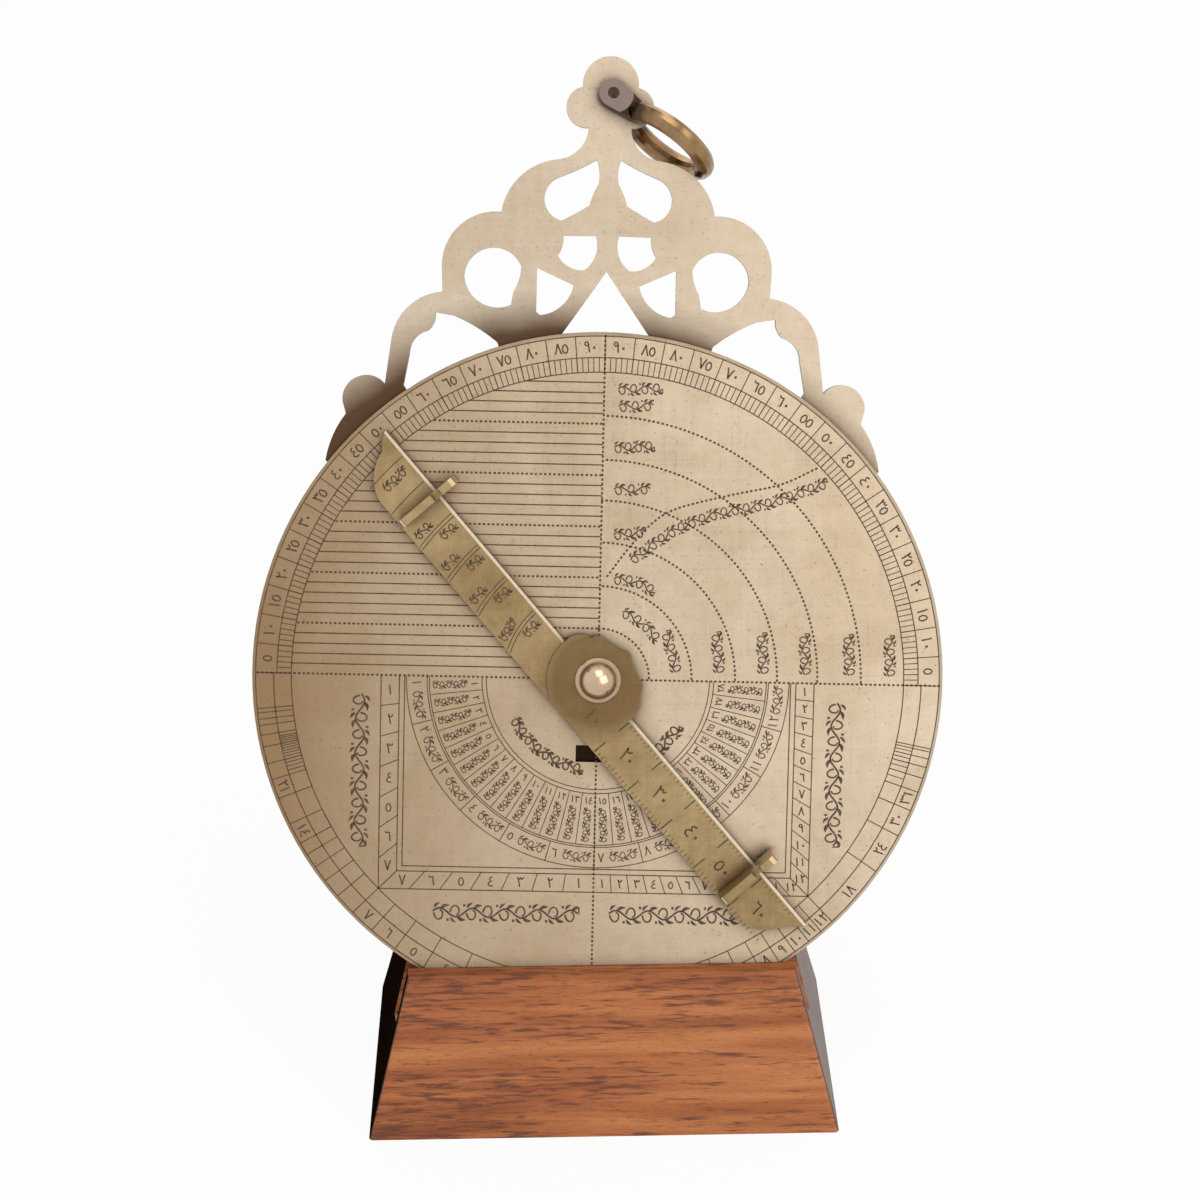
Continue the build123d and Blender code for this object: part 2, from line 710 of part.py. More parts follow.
# Ring pin: the rivet through both cheeks and the finial
with BuildPart() as ring_pin:
    with BuildSketch(ring_plane.offset(-cheek_level - cheek_thickness)):
        Circle(ring_pin_radius)
    extrude(amount=2 * (cheek_level + cheek_thickness))
ring_pin.part.label = "ring_pin"

pieces = [
    wooden_block.part,
    dorsum_plate.part,
    throne_ring.part,
    limb_ring.part,
    limb_screws.part,
    *latitude_plates,
    rete.part,
    rete_knob.part,
    alidade.part,
    upper_vane,
    lower_vane,
    head_washer.part,
    pivot_pin.part,
    horse_washer.part,
    horse.part,
    suspension_ring.part,
    ring_pin.part,
]
os.makedirs("parts", exist_ok=True)
for piece in pieces:
    export_step(piece, f"parts/{piece.label}.step")
    print(piece.label, len(piece.solids()), round(piece.volume, 2))
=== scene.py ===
import json
import math

import bpy
import numpy as np
from mathutils import Matrix


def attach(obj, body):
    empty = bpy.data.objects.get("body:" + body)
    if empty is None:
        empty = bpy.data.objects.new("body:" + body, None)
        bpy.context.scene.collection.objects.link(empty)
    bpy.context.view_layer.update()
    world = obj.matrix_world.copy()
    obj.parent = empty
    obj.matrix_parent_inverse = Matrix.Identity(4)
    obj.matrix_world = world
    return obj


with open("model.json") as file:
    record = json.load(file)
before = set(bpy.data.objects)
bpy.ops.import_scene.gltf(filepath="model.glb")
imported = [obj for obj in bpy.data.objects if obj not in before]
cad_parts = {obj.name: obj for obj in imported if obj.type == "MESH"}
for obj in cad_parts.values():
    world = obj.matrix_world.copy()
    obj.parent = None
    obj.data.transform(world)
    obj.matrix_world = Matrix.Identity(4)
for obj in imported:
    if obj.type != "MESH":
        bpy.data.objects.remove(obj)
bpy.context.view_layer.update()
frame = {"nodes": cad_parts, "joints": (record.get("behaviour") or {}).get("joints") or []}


# The studio: a long lens a little above the instrument, three big soft lamps, on the right, overhead and
# behind, and a pale table that keeps a soft shadow and runs out into a white room.
lens_mm = 87.87
camera_target = np.array([0.000136, -0.027, 0.114085])
camera_distance = 0.51043
camera_azimuth, camera_elevation, camera_roll = np.radians([-0.745, 25.907, -0.536])
room_light = 0.55
floor_half = 6.0
floor_glow = 0.93
warm, less_warm, white = (1.0, 0.985, 0.96), (1.0, 0.99, 0.97), (1.0, 1.0, 1.0)


def looking(azimuth, elevation, roll=0.0):
    """Right, up and back vectors of what looks from an azimuth and elevation, turned about back by roll."""
    level = np.array([math.sin(azimuth), -math.cos(azimuth), 0.0])
    back = level * math.cos(elevation) + np.array([0.0, 0.0, math.sin(elevation)])
    right = np.array([math.cos(azimuth), math.sin(azimuth), 0.0])
    up = np.cross(back, right)
    turned = right * math.cos(roll) + up * math.sin(roll)
    return turned, np.cross(back, turned), back


def stand_at(thing, place, axes):
    """Puts a camera or lamp at a place with its own x, y and z along three given vectors."""
    matrix = np.eye(4)
    matrix[:3, :3] = np.stack(axes, 1)
    matrix[:3, 3] = place
    thing.matrix_world = Matrix(matrix.tolist())


def soft_lamp(name, azimuth, elevation, distance, width, watts, tint):
    """A square lamp that faces the instrument from an azimuth and elevation."""
    light = bpy.data.lights.new(name, "AREA")
    light.size = width
    light.energy = watts
    light.color = tint
    lamp = bpy.data.objects.new(name, light)
    bpy.context.scene.collection.objects.link(lamp)
    axes = looking(math.radians(azimuth), math.radians(elevation))
    stand_at(lamp, camera_target + distance * axes[2], axes)


view = bpy.data.cameras.new("photograph_view")
view.lens = lens_mm
view.sensor_width = 36.0
view.clip_start = 0.01
camera = bpy.data.objects.new("photograph_view", view)
bpy.context.scene.collection.objects.link(camera)
camera_axes = looking(camera_azimuth, camera_elevation, camera_roll)
stand_at(camera, camera_target + camera_distance * camera_axes[2], camera_axes)
bpy.context.scene.camera = camera
bpy.context.scene.view_settings.view_transform = "Standard"

soft_lamp("key_lamp", 38, 24, distance=1.2, width=0.95, watts=4.6, tint=warm)
soft_lamp("top_lamp", 15, 68, distance=1.2, width=0.8, watts=3.6, tint=less_warm)
soft_lamp("back_lamp", 170, 45, distance=1.3, width=0.9, watts=3.0, tint=white)


def seen_directly(nodes, links):
    """One for rays from the camera, a mirror or glass, and nought for the light that falls on things."""
    path = nodes.new("ShaderNodeLightPath")
    either = nodes.new("ShaderNodeMath")
    either.operation = "MAXIMUM"
    links.new(path.outputs["Is Camera Ray"], either.inputs[0])
    links.new(path.outputs["Is Glossy Ray"], either.inputs[1])
    any_of = nodes.new("ShaderNodeMath")
    any_of.operation = "MAXIMUM"
    links.new(either.outputs[0], any_of.inputs[0])
    links.new(path.outputs["Is Transmission Ray"], any_of.inputs[1])
    return any_of.outputs[0]


world = bpy.data.worlds.new("white_room")
bpy.context.scene.world = world
world.use_nodes = True
nodes, links = world.node_tree.nodes, world.node_tree.links
nodes.clear()
shown = nodes.new("ShaderNodeBackground")
shown.inputs["Strength"].default_value = 1.0
lit = nodes.new("ShaderNodeBackground")
lit.inputs["Strength"].default_value = room_light
for background in (shown, lit):
    background.inputs["Color"].default_value = (1.0, 1.0, 1.0, 1.0)
either = nodes.new("ShaderNodeMixShader")
links.new(seen_directly(nodes, links), either.inputs[0])
links.new(lit.outputs[0], either.inputs[1])
links.new(shown.outputs[0], either.inputs[2])
links.new(either.outputs[0], nodes.new("ShaderNodeOutputWorld").inputs[0])

table_top = bpy.data.meshes.new("table_top")
floor_corners = [(x * floor_half, y * floor_half, 0.0) for x, y in ((-1, -1), (1, -1), (1, 1), (-1, 1))]
table_top.from_pydata(floor_corners, [], [(0, 1, 2, 3)])
floor = bpy.data.objects.new("table_top", table_top)
bpy.context.scene.collection.objects.link(floor)
pale = bpy.data.materials.new("pale_table")
pale.use_nodes = True
nodes, links = pale.node_tree.nodes, pale.node_tree.links
nodes.clear()
paper = nodes.new("ShaderNodeBsdfDiffuse")
paper.inputs["Color"].default_value = (0.92, 0.92, 0.92, 1.0)
glow = nodes.new("ShaderNodeEmission")
glow.inputs["Color"].default_value = (1.0, 1.0, 1.0, 1.0)
share = nodes.new("ShaderNodeMath")
share.operation = "MULTIPLY"
share.inputs[1].default_value = floor_glow
links.new(seen_directly(nodes, links), share.inputs[0])
blend = nodes.new("ShaderNodeMixShader")
links.new(share.outputs[0], blend.inputs[0])
links.new(paper.outputs[0], blend.inputs[1])
links.new(glow.outputs[0], blend.inputs[2])
links.new(blend.outputs[0], nodes.new("ShaderNodeOutputMaterial").inputs[0])
table_top.materials.append(pale)


# The block: one billet of reddish hardwood sawn with four sloping sides and a kerf, sanded and oiled. Its
# grain runs from side to side, in dark and light streaks with short open pores, and its ends are dark; the
# left end is also painted near black with little specular, as painted shade.
def rgb(red, green, blue):
    """A colour given as 0 to 255 on a screen, as the light values that a shader takes."""
    screen = np.array([red, green, blue]) / 255.0
    light = np.where(screen > 0.04045, ((screen + 0.055) / 1.055) ** 2.4, screen / 12.92)
    return (*light, 1.0)


class Finish:
    """A node material under construction, with short ways to add the usual nodes to its shader."""

    def __init__(self, name, **values):
        self.material = bpy.data.materials.new(name)
        self.material.use_nodes = True
        self.nodes = self.material.node_tree.nodes
        self.links = self.material.node_tree.links
        self.shader = self.nodes["Principled BSDF"]
        self.object_place = self.nodes.new("ShaderNodeTexCoord").outputs["Object"]
        for socket, value in values.items():
            self.shader.inputs[socket.replace("_", " ").capitalize()].default_value = value

    def put(self, value, socket):
        """Links an output or sets a plain value on an input."""
        if isinstance(value, bpy.types.NodeSocket):
            self.links.new(value, socket)
        else:
            socket.default_value = value

    def paint(self, colour):
        """Sets the base colour."""
        self.put(colour, self.shader.inputs["Base Color"])

    def paint_over(self, share, colour):
        """Lays a further colour over what is painted so far, by its share."""
        painted = self.shader.inputs["Base Color"].links[0].from_socket
        self.paint(self.mix(share, painted, colour))

    def mapped(self, scale, turn):
        """Object coordinates scaled and turned by degrees."""
        node = self.nodes.new("ShaderNodeMapping")
        node.inputs["Scale"].default_value = scale
        node.inputs["Rotation"].default_value = np.radians(turn)
        self.links.new(self.object_place, node.inputs["Vector"])
        return node.outputs["Vector"]

    def noise(self, place, scale, detail=3.0, rough=0.5, bend=0.0):
        """Cloudy noise from 0 to 1."""
        node = self.nodes.new("ShaderNodeTexNoise")
        self.links.new(place, node.inputs["Vector"])
        node.inputs["Scale"].default_value = scale
        node.inputs["Detail"].default_value = detail
        node.inputs["Roughness"].default_value = rough
        node.inputs["Distortion"].default_value = bend
        return node.outputs["Fac"]

    def ramp(self, value, *stops):
        """Colours or levels picked along a value: stops are (position, colour or level)."""
        node = self.nodes.new("ShaderNodeValToRGB")
        self.links.new(value, node.inputs["Fac"])
        marks = node.color_ramp.elements
        while len(marks) < len(stops):
            marks.new(0.5)
        for mark, (position, colour) in zip(marks, stops):
            mark.position = position
            mark.color = colour if isinstance(colour, tuple) else (colour, colour, colour, 1.0)
        return node.outputs["Color"]

    def mix(self, factor, first, second):
        """Two colours mixed by a factor."""
        node = self.nodes.new("ShaderNodeMix")
        node.data_type = "RGBA"
        self.put(factor, node.inputs["Factor"])
        self.put(first, node.inputs[6])
        self.put(second, node.inputs[7])
        return node.outputs[2]

    def reckon(self, first, second, way="ADD", third=0.0):
        """Arithmetic on two values, or three."""
        node = self.nodes.new("ShaderNodeMath")
        node.operation = way
        for value, socket in zip((first, second, third), node.inputs):
            self.put(value, socket)
        return node.outputs[0]

    def vector(self, first, second, way):
        """A difference, product or distance of two vectors."""
        node = self.nodes.new("ShaderNodeVectorMath")
        node.operation = way
        self.put(first, node.inputs[0])
        self.put(second, node.inputs[1])
        return node.outputs["Vector" if way == "SUBTRACT" else "Value"]

    def distance(self, centre):
        """Metres from a point."""
        return self.vector(self.object_place, tuple(centre), "DISTANCE")

    def along(self, way, centre):
        """Metres from a point along a direction."""
        from_centre = self.vector(self.object_place, tuple(centre), "SUBTRACT")
        return self.vector(from_centre, tuple(way), "DOT_PRODUCT")

    def toward(self, way):
        """One where the surface faces along a direction, and minus one where it faces away."""
        normal = self.nodes.new("ShaderNodeTexCoord").outputs["Normal"]
        return self.vector(normal, tuple(way), "DOT_PRODUCT")

    def facing(self, way):
        """One where the surface faces along a direction, either way, and nought where it lies along it."""
        return self.reckon(self.toward(way), 0.0, "ABSOLUTE")

    def openness(self, reach):
        """One on open surfaces and less in corners, felt out to a reach in metres."""
        node = self.nodes.new("ShaderNodeAmbientOcclusion")
        node.samples = 6
        node.inputs["Distance"].default_value = reach
        return node.outputs["AO"]

    def bump(self, height, depth, strength=1.0):
        """Gives the shader fine relief, depth in metres."""
        node = self.nodes.new("ShaderNodeBump")
        node.inputs["Strength"].default_value = strength
        node.inputs["Distance"].default_value = depth
        self.links.new(height, node.inputs["Height"])
        self.links.new(node.outputs["Normal"], self.shader.inputs["Normal"])


def dress(material, *names):
    """Gives the frame's own solids their material."""
    for name in names:
        for held in frame["nodes"][name].material_slots:
            held.material = material


grain_rise = (0, -1.8, 0)
fleck_colour = rgb(94, 44, 20)
pore_colour = rgb(70, 32, 16)
end_grain_colour = rgb(46, 26, 20)
left_end_painted_shade_colour = rgb(10, 7, 6)
grain_relief = 0.0001
wood = Finish("oiled_hardwood", roughness=0.46)
fibres = wood.noise(wood.mapped((24, 420, 420), grain_rise), 1.0, 5.0, 0.6, 0.5)
bands = wood.noise(wood.mapped((9, 70, 90), grain_rise), 1.0, 2.0, 0.5, 1.0)
flecks = wood.noise(wood.mapped((150, 1500, 1500), grain_rise), 1.0, 3.0, 0.6, 0.3)
pores = wood.noise(wood.mapped((650, 7000, 7000), grain_rise), 1.0, 1.0)
figure = wood.reckon(wood.reckon(fibres, 0.5, "MULTIPLY"), wood.reckon(bands, 0.5, "MULTIPLY"))
body_colour = wood.ramp(
    figure, (0.36, rgb(140, 70, 26)), (0.5, rgb(174, 100, 50)), (0.64, rgb(198, 126, 72))
)
gathered = wood.reckon(wood.reckon(bands, -0.5), 0.5, "MULTIPLY")
fleck_share = wood.ramp(wood.reckon(flecks, gathered, "SUBTRACT"), (0.53, 0.0), (0.66, 0.85))
wood.paint(wood.mix(fleck_share, body_colour, fleck_colour))
wood.paint_over(wood.ramp(pores, (0.6, 0.0), (0.72, 0.5)), pore_colour)
wood.paint_over(wood.ramp(wood.facing((1, 0, 0)), (0.55, 0.0), (0.8, 0.85)), end_grain_colour)
# The left end is painted near black and its specular is taken away: painted shade on the side away from the
# lamps.
left_painted_shade_facing = wood.toward((-1.0, 0.0, 0.0))
wood.paint_over(wood.ramp(left_painted_shade_facing, (0.6, 0.0), (0.85, 0.93)), left_end_painted_shade_colour)
wood.put(wood.ramp(left_painted_shade_facing, (0.6, 0.5), (0.85, 0.0)), wood.shader.inputs["Specular IOR Level"])
wood.bump(wood.reckon(fibres, fleck_share, "SUBTRACT"), grain_relief, 0.4)
dress(wood.material, "wooden_block")


# The dorsum: the brass back plate of the instrument, rolled, lapped flat, engraved, darkened with a patina
# and rubbed back to a satin face. Its left part is painted darker as painted shade, and the small window
# below the centre has painted shade on its floor.
joints = {joint["name"]: joint for joint in frame["joints"]}
disc_centre = np.array(joints["alidade_turn"]["pos_m"])
out_of_face = np.array(joints["alidade_turn"]["axis"])
disc_right = np.array(joints["horse_pull"]["axis"])
disc_up = np.cross(out_of_face, disc_right)
mm = 0.001
dirt_and_shade_reach = 3.5 * mm
rubbing_relief = 0.01 * mm
dirt_and_shade_colour = rgb(74, 50, 32)
speck_colour = rgb(104, 78, 52)


def brass(name, light, dark, roughness=0.36, wall=None, shade=None):
    """Antiqued satin brass: two tones in soft clouds, brown specks of patina, hair-fine rubbing marks in the
    roughness and relief, and dirt with painted shade in the corners. Wall is a darker tone, tarnish with
    painted shade, for what doesn't face along the disc's axis. The last argument adds a further tone of
    painted light: a colour and a function that gives its share."""
    finish = Finish(name, metallic=1.0)
    place = finish.object_place
    clouds = finish.noise(place, 38.0, 5.0, 0.6, 0.4)
    mottle = finish.noise(place, 420.0, 4.0, 0.65)
    cloudy = finish.reckon(finish.reckon(clouds, 0.7, "MULTIPLY"), finish.reckon(mottle, 0.3, "MULTIPLY"))
    finish.paint(finish.ramp(cloudy, (0.36, dark), (0.64, light)))
    # The further tone, when given, is painted light: painted shade on the dorsum and throne, a painted
    # highlight on the rule.
    if shade:
        finish.paint_over(shade[1](finish, clouds), shade[0])
    # Walls take a darker tone: tarnish on the sawn edges, with painted shade.
    if wall:
        finish.paint_over(finish.ramp(finish.facing(out_of_face), (0.75, 0.8), (0.97, 0.0)), wall)
    # Corners and places close to other parts darken: dirt with painted shade.
    finish.paint_over(finish.ramp(finish.openness(dirt_and_shade_reach), (0.35, 0.85), (0.93, 0.0)), dirt_and_shade_colour)
    specks = finish.noise(place, 1900.0, 2.0, 0.6)
    finish.paint_over(finish.ramp(specks, (0.27, 0.5), (0.36, 0.0)), speck_colour)
    first = finish.noise(finish.mapped((60, 60, 2600), (12, 31, 8)), 1.0, 2.0)
    second = finish.noise(finish.mapped((2400, 50, 70), (5, -24, 17)), 1.0, 2.0)
    hairs = finish.reckon(first, second)
    hazed = finish.reckon(finish.reckon(hairs, -1.0), 0.35, "MULTIPLY")
    finish.put(finish.reckon(hazed, roughness), finish.shader.inputs["Roughness"])
    finish.bump(finish.reckon(hairs, mottle), rubbing_relief, 0.6)
    return finish


def dorsum_shade(finish, clouds):
    """Share of painted shade, a darker, browner tone: most at the left of the face, none at the right."""
    across = finish.along(disc_right * 0.98 + disc_up * 0.08, disc_centre)
    drift = finish.reckon(finish.reckon(clouds, -0.5), 0.02, "MULTIPLY")
    from_left = finish.reckon(finish.reckon(across, drift), 7.0, "MULTIPLY_ADD", 0.5)
    return finish.ramp(from_left, (0.08, 1.0), (0.24, 0.5), (0.6, 0.0))


window_reach, window_sunk = 22 * mm, 0.1 * mm
dorsum_brass = brass(
    "dorsum_brass", rgb(206, 187, 163), rgb(188, 167, 139), shade=(rgb(152, 124, 92), dorsum_shade)
)
# The floor of the small window below the centre is painted nearly black: painted shade for a deep, dark hole.
below_face = dorsum_brass.reckon(dorsum_brass.along(-out_of_face, disc_centre), window_sunk, "GREATER_THAN")
near_pin = dorsum_brass.reckon(dorsum_brass.distance(disc_centre), window_reach, "LESS_THAN")
dorsum_brass.paint_over(dorsum_brass.reckon(below_face, near_pin, "MULTIPLY"), rgb(40, 27, 20))
dress(dorsum_brass.material, "dorsum_plate")


# The rim scales: circles, cells and plain numbers cut into the edge of the dorsum with a graver. The upper
# half has single degrees and cells of five, the lower half steps by the cotangent, of 7 on the left and of
# 12 on the right.
proud, sunk = 0.018, 0.03
hair_cut, tick_cut, degree_cut, cell_cut, division_cut, ring_cut = 0.14, 0.15, 0.16, 0.17, 0.18, 0.2
patina = Finish("engraving_patina", roughness=0.75, metallic=0.0)
patina_clouds = patina.noise(patina.object_place, 900.0, 3.0)
patina.paint(patina.ramp(patina_clouds, (0.35, rgb(62, 45, 32)), (0.7, rgb(104, 82, 60))))


def on_disc(points):
    """Points given in mm as right, up and out of the dorsum's face, as places in the frame in metres."""
    return disc_centre + mm * (points @ np.stack([disc_right, disc_up, out_of_face]))


def strokes(lines, width=ring_cut, level=0.0):
    """Cut lines as closed prisms. Lines are an array of many lines of as many points in the plane of the
    face. Each point is carried half the width to either side, square to the line's slope there, and the
    four corners of the section stand a little below and above the face."""
    lines = np.asarray(lines, float)
    lines = lines.reshape(-1, *lines.shape[-2:])
    width = np.broadcast_to(width, lines.shape[:2])
    slope = np.gradient(lines, axis=1)
    slope /= np.maximum(np.linalg.norm(slope, axis=2, keepdims=True), 1e-9)
    side = np.stack([-slope[..., 1], slope[..., 0]], -1) * width[..., None] / 2
    section = np.stack([lines + side, lines - side, lines - side, lines + side], 2)
    height = np.array([proud, proud, -sunk, -sunk])[:, None] + level
    height = np.broadcast_to(height, section.shape[:3] + (1,))
    corners = np.concatenate([section, height], -1).reshape(-1, 3)
    many, along = lines.shape[:2]
    first = (np.arange(many)[:, None, None] * along + np.arange(along - 1)[:, None]) * 4
    near = first + np.arange(4)
    far = first + (np.arange(4) + 1) % 4
    walls = np.stack([near, far, far + 4, near + 4], -1).reshape(-1, 4)
    start = np.arange(many)[:, None] * along * 4 + np.array([3, 2, 1, 0])
    end = np.arange(many)[:, None] * along * 4 + (along - 1) * 4 + np.array([0, 1, 2, 3])
    return corners, np.concatenate([walls, start, end])


def arc(radius, start=0.0, stop=360.0, count=181, centre=(0.0, 0.0)):
    """Points of a circle, angles in degrees anticlockwise from the right."""
    angle = np.radians(np.linspace(start, stop, count))
    return np.stack([centre[0] + radius * np.cos(angle), centre[1] + radius * np.sin(angle)], -1)


def spokes(degrees, inner, outer):
    """Straight lines between two circles at many angles."""
    angle = np.radians(np.asarray(degrees, float))
    way = np.stack([np.cos(angle), np.sin(angle)], -1)
    return way[:, None, :] * np.array([inner, outer])[:, None]


def around(degrees, radius):
    """Places on a circle at many angles."""
    return spokes(degrees, 0, radius)[:, 1]


def flow(corners, count):
    """A smooth line through a few corners: each span is a cubic of its ends and their neighbours."""
    corners = np.asarray(corners, float)
    wide = np.concatenate([2 * corners[:1] - corners[1:2], corners, 2 * corners[-1:] - corners[-2:-1]])
    run = np.linspace(0, len(corners) - 1, count)
    span = np.minimum(run.astype(int), len(corners) - 2)
    part = (run - span)[:, None]
    a, b, c, d = (wide[span + k] for k in range(4))
    bend, twist = 2 * a - 5 * b + 4 * c - d, 3 * b - a - 3 * c + d
    return 0.5 * (2 * b + (c - a) * part + bend * part**2 + twist * part**3)


numeral_lines = {
    0: [[(-0.1, 0.42), (-0.02, 0.42), (0.1, 0.42)]],
    1: [[(-0.06, 1.0), (0.0, 0.5), (0.04, 0.0)]],
    2: [[(0.08, 0.0), (0.0, 0.5), (-0.14, 1.0)], [(-0.14, 1.0), (-0.02, 0.78), (0.18, 0.76), (0.32, 0.98)]],
    3: [[(-0.02, 0.0), (-0.1, 0.5), (-0.24, 1.0)],
        [(-0.24, 1.0), (-0.14, 0.8), (-0.02, 0.8), (0.06, 0.98), (0.14, 0.8), (0.26, 0.8), (0.34, 1.0)]],
    4: [[(0.2, 0.98), (-0.1, 0.86), (-0.06, 0.66), (0.16, 0.58), (-0.2, 0.4), (-0.18, 0.1), (0.24, 0.04)]],
    5: [[(0.26, 0.42), (0.14, 0.76), (0.0, 0.84), (-0.16, 0.72), (-0.26, 0.42), (-0.16, 0.12), (0.0, 0.04),
         (0.16, 0.12), (0.26, 0.42)]],
    6: [[(-0.28, 0.98), (-0.2, 0.84), (0.0, 0.84), (0.14, 0.9)], [(0.14, 0.9), (0.16, 0.5), (0.22, 0.0)]],
    7: [[(-0.3, 1.0), (-0.14, 0.55), (0.0, 0.0)], [(0.0, 0.0), (0.14, 0.55), (0.3, 1.0)]],
    8: [[(-0.3, 0.0), (-0.14, 0.45), (0.0, 1.0)], [(0.0, 1.0), (0.14, 0.45), (0.3, 0.0)]],
    9: [[(0.14, 0.8), (0.02, 0.98), (-0.16, 0.92), (-0.2, 0.72), (-0.06, 0.6), (0.1, 0.66), (0.14, 0.8)],
        [(0.14, 0.8), (0.16, 0.45), (0.22, 0.0)]],
}
stroke_points = 9
zero_weight = 1.7
digit_advance = 0.66
numerals = {
    digit: np.array([flow(line, stroke_points) for line in lines]) for digit, lines in numeral_lines.items()
}


def numbers(values, places, turns, height, pen, level=0.0):
    """Plain numbers: their digits' lines scaled to a height, side by side, turned and centred at a place."""
    parts = []
    for value, place, turn in zip(values, places, np.radians(turns)):
        digits = [int(mark) for mark in str(value)]
        turned = np.array([[math.cos(turn), math.sin(turn)], [-math.sin(turn), math.cos(turn)]])
        for order, digit in enumerate(digits):
            shift = np.array([(order - (len(digits) - 1) / 2) * digit_advance, -0.5])
            weight = pen * (zero_weight if digit == 0 else 1.0)
            lines = np.asarray(place) + ((numerals[digit] + shift) * height) @ turned
            parts.append(strokes(lines, weight, level))
    return parts


def engraved(name, parts, body="astrolabe", place=on_disc):
    """A set of cut lines as one mesh, set in the frame by a function of place, that rides on a body."""
    points = np.concatenate([part[0] for part in parts])
    counts = np.cumsum([0] + [len(part[0]) for part in parts[:-1]])
    faces = np.concatenate([part[1] + count for part, count in zip(parts, counts)])
    mesh = bpy.data.meshes.new(name)
    mesh.from_pydata(place(points).tolist(), [], faces.tolist())
    mesh.materials.append(patina.material)
    mesh.update()
    piece = bpy.data.objects.new(name, mesh)
    bpy.context.scene.collection.objects.link(piece)
    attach(piece, body)


rim_outer, rim_middle, rim_inner, rim_lower = 64.3, 60.3, 57.6, 60.9
cell = 5
cell_middle = 2.5 + cell * np.arange(36)
cell_value = np.minimum(cell * (np.arange(36) + 1), cell * (36 - np.arange(36)))
cell_place = around(cell_middle, (rim_middle + rim_outer) / 2)
engraved("rim_scale", [
    strokes(arc(rim_outer)), strokes(arc(rim_inner)), strokes(arc(rim_middle, 0, 180)),
    strokes(arc(rim_lower, 180, 360)),
    strokes(spokes(np.arange(0, 181), rim_inner, rim_middle), degree_cut),
    strokes(spokes(np.arange(0, 181, cell), rim_inner, rim_outer), division_cut),
    *numbers(cell_value, cell_place, cell_middle - 90, height=2.0, pen=0.28),
])


def cotangent_scale(gnomon, zero, sense, coarse, fine, labels):
    """A quarter of the lower rim. A step stands at the angle whose cotangent is step / gnomon, and each
    number halfway between its own step and the one before."""
    def angle_of(steps):
        """Angle in degrees from the right of the disc at which a step stands."""
        return zero + sense * np.degrees(np.arctan2(gnomon, np.asarray(steps, float)))

    before = [max([step for step in coarse if step < label], default=0) for label in labels]
    label_angle = (angle_of(labels) + angle_of(before)) / 2
    label_place = around(label_angle, (rim_lower + rim_outer) / 2)
    return [
        strokes(spokes(angle_of(coarse), rim_inner, rim_outer), division_cut),
        strokes(spokes(angle_of(fine), rim_inner, rim_lower), degree_cut),
        *numbers(labels, label_place, label_angle + 90, height=1.9, pen=0.27),
    ]


sevenths = [*range(1, 13), 14, 17.5, 21, 25, 31, 37, 44, 50, 58, 65]
twelfths = [*range(1, 13), *range(18, 64, 6), 63]
engraved("shadow_limb", [
    *cotangent_scale(7.0, 180, 1, sevenths, list(range(22, 36)), [21, 14, *range(7, 0, -1)]),
    *cotangent_scale(12.0, 0, -1, twelfths, list(range(39, 60, 3)), [36, 30, 24, 18, *range(12, 0, -1)]),
])


# The quadrants: the sine rows at the left and the arcs of the zodiac at the right, cut into the plate
# above its horizontal diameter. Every fifth row, the arcs and both diameters are rows of dots made with a
# round punch.
dot_pitch, dot_length, dot_width = 0.86, 0.52, 0.4
sine_cut = 0.23
row_count = 30
slope_reach = 0.1


def along_line(line, lengths):
    """Places at given lengths along a line, the line's direction there, and its whole length."""
    line = np.asarray(line, float)
    run = np.concatenate([[0], np.cumsum(np.linalg.norm(np.diff(line, axis=0), axis=1))])

    def spot(at):
        """Places at lengths, held to the line's ends."""
        return np.stack([np.interp(np.clip(at, 0, run[-1]), run, line[:, axis]) for axis in range(2)], -1)

    way = spot(lengths + slope_reach) - spot(lengths - slope_reach)
    return spot(lengths), way / np.maximum(np.linalg.norm(way, axis=-1, keepdims=True), 1e-9), run[-1]


def length_of(line):
    """Length of a line."""
    return along_line(line, np.zeros(1))[2]


def dotted(line):
    """A line of punched dots: short strokes with narrow ends at an even pitch."""
    points, way, _ = along_line(line, np.arange(dot_pitch / 2, length_of(line), dot_pitch))
    reach = dot_length * np.array([-0.5, -0.25, 0.25, 0.5])
    swell = dot_width * np.array([0.45, 1.0, 1.0, 0.45])
    return strokes(points[:, None] + way[:, None] * reach[:, None], swell)


engraved("dotted_diameters", [
    dotted([(-rim_outer, 0), (rim_outer, 0)]), dotted([(0, -rim_outer), (0, rim_outer)]),
])
sine_rows = rim_inner / row_count * np.arange(1, row_count)
sine_ends = np.sqrt(rim_inner**2 - sine_rows**2)
punched = np.arange(1, row_count) % 5 == 0
row_lines = np.stack([np.stack([-sine_ends, sine_rows], -1), np.stack([0 * sine_rows, sine_rows], -1)], 1)
engraved("sine_lines", [strokes(row_lines[~punched], sine_cut), *[dotted(row) for row in row_lines[punched]]])

zodiac_radii = (9.6, 17.6, 25.8, 33.7, 41.3, 49.5)
noon_line = flow([(1.1, 19.2), (6.5, 26.4), (12.6, 31.8), (23.3, 35.0), (33.2, 37.3), (40.2, 40.6)], 60)
engraved("zodiac_arcs", [*[dotted(arc(radius, 0, 90, 61)) for radius in zodiac_radii], dotted(noon_line)])


